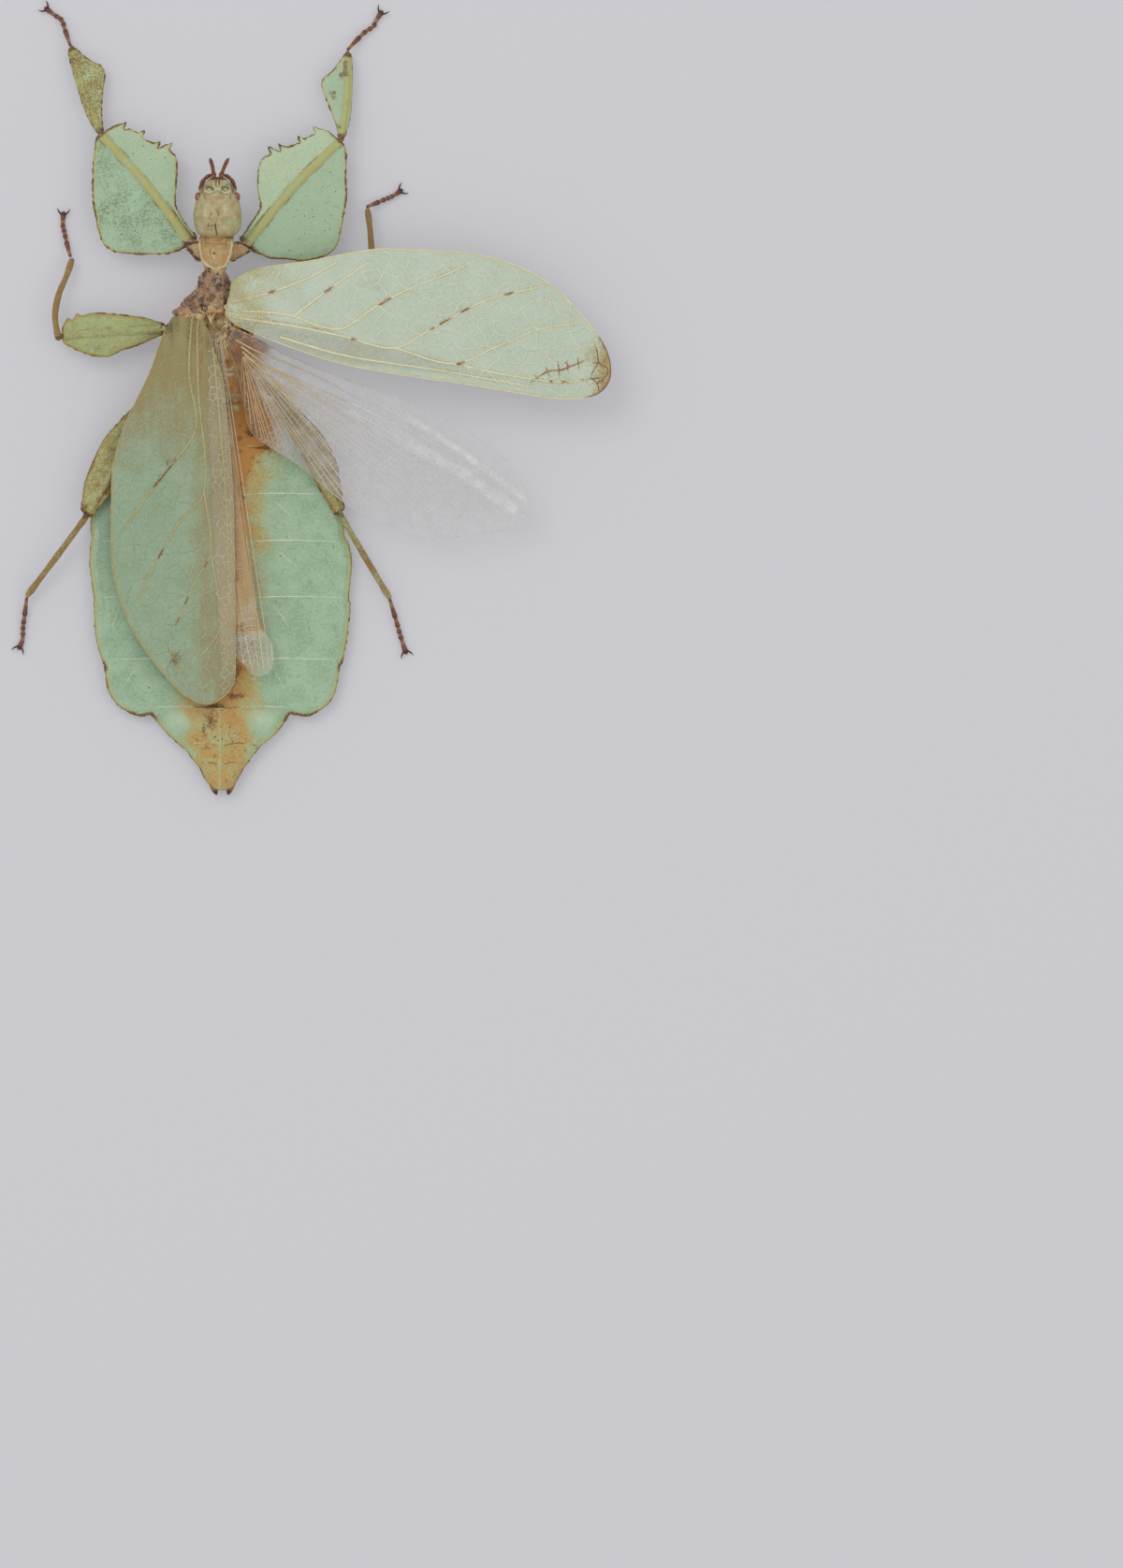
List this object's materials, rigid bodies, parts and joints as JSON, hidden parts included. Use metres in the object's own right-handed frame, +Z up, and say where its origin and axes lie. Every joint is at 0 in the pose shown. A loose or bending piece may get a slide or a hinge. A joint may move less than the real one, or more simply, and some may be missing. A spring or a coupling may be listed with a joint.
{
  "type": "leaf insect specimen",
  "caption": "Dried female leaf insect on a short steel pin: flat leaf-like abdomen and lobed legs, wings spread on the right and folded back on the left",
  "frame": {"origin": "on the floor, under the middle of the box round the whole insect as she is set, legs and spread wings included", "axes": "+Y along the body towards the head, +X towards her right side and the spread wings, +Z up"},
  "size_m": [0.0927, 0.1231, 0.017],
  "materials": {
    "leaf_green": "dry leaf-like cuticle, satin",
    "leaf_pale": "dry cuticle, satin",
    "tegmen": "thin leathery wing, satin",
    "wing_membrane": "clear dry membrane",
    "khaki_cuticle": "satin",
    "ochre_cuticle": "satin",
    "umber_cuticle": "rough, granular",
    "rust_cuticle": "satin",
    "olive_cuticle": "satin",
    "eye": "glossy",
    "steel": "polished"
  },
  "bodies": {
    "root": {"head": "khaki_cuticle", "eye_left": "eye", "eye_right": "eye", "antenna_left": "rust_cuticle", "antenna_right": "rust_cuticle", "palp_left": "rust_cuticle", "palp_right": "rust_cuticle", "pronotum": "ochre_cuticle", "mesothorax": "umber_cuticle", "metathorax": "ochre_cuticle", "abdomen": "leaf_green", "subgenital_plate": "leaf_pale", "cercus_left": "leaf_pale", "cercus_right": "leaf_pale", "tegmen_left": "tegmen", "tegmen_right": "tegmen", "hindwing_left": "wing_membrane", "hindwing_right": "wing_membrane", "coxa_front_left": "olive_cuticle", "coxa_front_right": "olive_cuticle", "coxa_mid_left": "olive_cuticle", "coxa_mid_right": "olive_cuticle", "coxa_hind_left": "olive_cuticle", "coxa_hind_right": "olive_cuticle", "femur_front_left": "leaf_green", "femur_front_right": "leaf_green", "femur_mid_left": "olive_cuticle", "femur_mid_right": "olive_cuticle", "femur_hind_left": "olive_cuticle", "femur_hind_right": "olive_cuticle", "tibia_front_left": "leaf_green", "tibia_front_right": "leaf_green", "tibia_mid_left": "olive_cuticle", "tibia_mid_right": "olive_cuticle", "tibia_hind_left": "olive_cuticle", "tibia_hind_right": "olive_cuticle", "tarsus_front_left": "rust_cuticle", "tarsus_front_right": "rust_cuticle", "tarsus_mid_left": "rust_cuticle", "tarsus_mid_right": "rust_cuticle", "tarsus_hind_left": "rust_cuticle", "tarsus_hind_right": "rust_cuticle", "stand_pin": "steel"}
  },
  "joints": []
}
